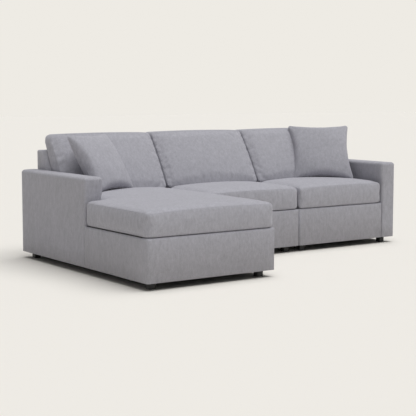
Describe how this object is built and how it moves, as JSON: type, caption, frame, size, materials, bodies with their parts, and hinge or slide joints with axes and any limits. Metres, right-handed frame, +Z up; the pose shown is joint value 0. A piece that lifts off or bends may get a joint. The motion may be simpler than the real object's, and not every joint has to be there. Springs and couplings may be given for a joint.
{
  "type": "sectional sofa",
  "caption": "Three-seat sectional sofa with a left-hand chaise: upholstered modules on low feet, loose seat and back cushions and square pillows.",
  "frame": {"origin": "on the floor, under the middle of the whole sofa's bounding box", "axes": "+X to the sitter's left along the length (picture right), -Y out of the front where the chaise points, +Z up"},
  "size_m": [2.705, 1.67, 0.8812],
  "materials": {
    "upholstery": "heathered mid-grey weave, matt",
    "cushion_cloth": "heathered mid-grey weave, matt",
    "pillow_cloth": "heathered mid-grey weave, matt",
    "felt": "charcoal felt",
    "dust_cloth": "thin black cloth",
    "webbing_cloth": "brown elastic webbing",
    "foam": "open foam",
    "fibre": "white fibre fill",
    "timber": "sawn softwood and plywood, bare",
    "foot_plastic": "black, matt",
    "bolt_steel": "zinc plated",
    "bracket_steel": "black powder coat"
  },
  "bodies": {
    "chaise_module": {"chaise_feet": "foot_plastic", "chaise_bolts": "bolt_steel", "chaise_end_rails": "timber", "chaise_joists": "timber", "chaise_corner_blocks": "timber", "chaise_webbing": "webbing_cloth", "chaise_base_cover": "upholstery", "chaise_deck_pad": "felt", "chaise_dust_cover": "dust_cloth", "chaise_back_ribs": "timber", "chaise_back_rails": "timber", "chaise_back_cover": "upholstery", "left_arm_frame": "timber", "left_arm_cover": "upholstery", "chaise_keeper_brackets": "bracket_steel"},
    "chaise_seat": {"chaise_seat_cushion": "cushion_cloth", "chaise_seat_foam": "foam"},
    "chaise_back": {"chaise_back_cushion": "cushion_cloth", "chaise_back_insert": "fibre"},
    "middle_module": {"middle_feet": "foot_plastic", "middle_bolts": "bolt_steel", "middle_end_rails": "timber", "middle_joists": "timber", "middle_corner_blocks": "timber", "middle_webbing": "webbing_cloth", "middle_base_cover": "upholstery", "middle_deck_pad": "felt", "middle_dust_cover": "dust_cloth", "middle_back_ribs": "timber", "middle_back_rails": "timber", "middle_back_cover": "upholstery", "middle_hook_brackets": "bracket_steel"},
    "middle_seat": {"middle_seat_cushion": "cushion_cloth", "middle_seat_foam": "foam"},
    "middle_back": {"middle_back_cushion": "cushion_cloth", "middle_back_insert": "fibre"},
    "right_module": {"right_feet": "foot_plastic", "right_bolts": "bolt_steel", "right_end_rails": "timber", "right_joists": "timber", "right_corner_blocks": "timber", "right_webbing": "webbing_cloth", "right_base_cover": "upholstery", "right_deck_pad": "felt", "right_dust_cover": "dust_cloth", "right_back_ribs": "timber", "right_back_rails": "timber", "right_back_cover": "upholstery", "right_arm_frame": "timber", "right_arm_cover": "upholstery", "right_keeper_brackets": "bracket_steel"},
    "right_seat": {"right_seat_cushion": "cushion_cloth", "right_seat_foam": "foam"},
    "right_back": {"right_back_cushion": "cushion_cloth", "right_back_insert": "fibre"},
    "left_loose_pillow": {"left_pillow": "pillow_cloth", "left_pillow_insert": "fibre"},
    "right_loose_pillow": {"right_pillow": "pillow_cloth", "right_pillow_insert": "fibre"}
  },
  "joints": [
    {"name": "chaise_module_lift", "type": "slide", "parent": "middle_module", "child": "chaise_module", "axis": [0, 0, 1], "range_m": [0, 0.06]},
    {"name": "right_module_lift", "type": "slide", "parent": "middle_module", "child": "right_module", "axis": [0, 0, 1], "range_m": [0, 0.06]},
    {"name": "chaise_seat_lift", "type": "slide", "parent": "chaise_module", "child": "chaise_seat", "axis": [0, 0, 1], "range_m": [0, 0.32]},
    {"name": "chaise_back_lift", "type": "slide", "parent": "chaise_seat", "child": "chaise_back", "axis": [0, 0.4447, 0.8957], "range_m": [0, 0.315]},
    {"name": "middle_seat_lift", "type": "slide", "parent": "middle_module", "child": "middle_seat", "axis": [0, 0, 1], "range_m": [0, 0.32]},
    {"name": "middle_back_lift", "type": "slide", "parent": "middle_seat", "child": "middle_back", "axis": [0, 0.4447, 0.8957], "range_m": [0, 0.315]},
    {"name": "right_seat_lift", "type": "slide", "parent": "right_module", "child": "right_seat", "axis": [0, 0, 1], "range_m": [0, 0.32]},
    {"name": "right_back_lift", "type": "slide", "parent": "right_seat", "child": "right_back", "axis": [0, 0.4447, 0.8957], "range_m": [0, 0.315]},
    {"name": "left_pillow_lift", "type": "slide", "parent": "chaise_back", "child": "left_loose_pillow", "axis": [0, 0, 1], "range_m": [0, 0.25]},
    {"name": "right_pillow_lift", "type": "slide", "parent": "right_back", "child": "right_loose_pillow", "axis": [0, 0, 1], "range_m": [0, 0.25]}
  ]
}
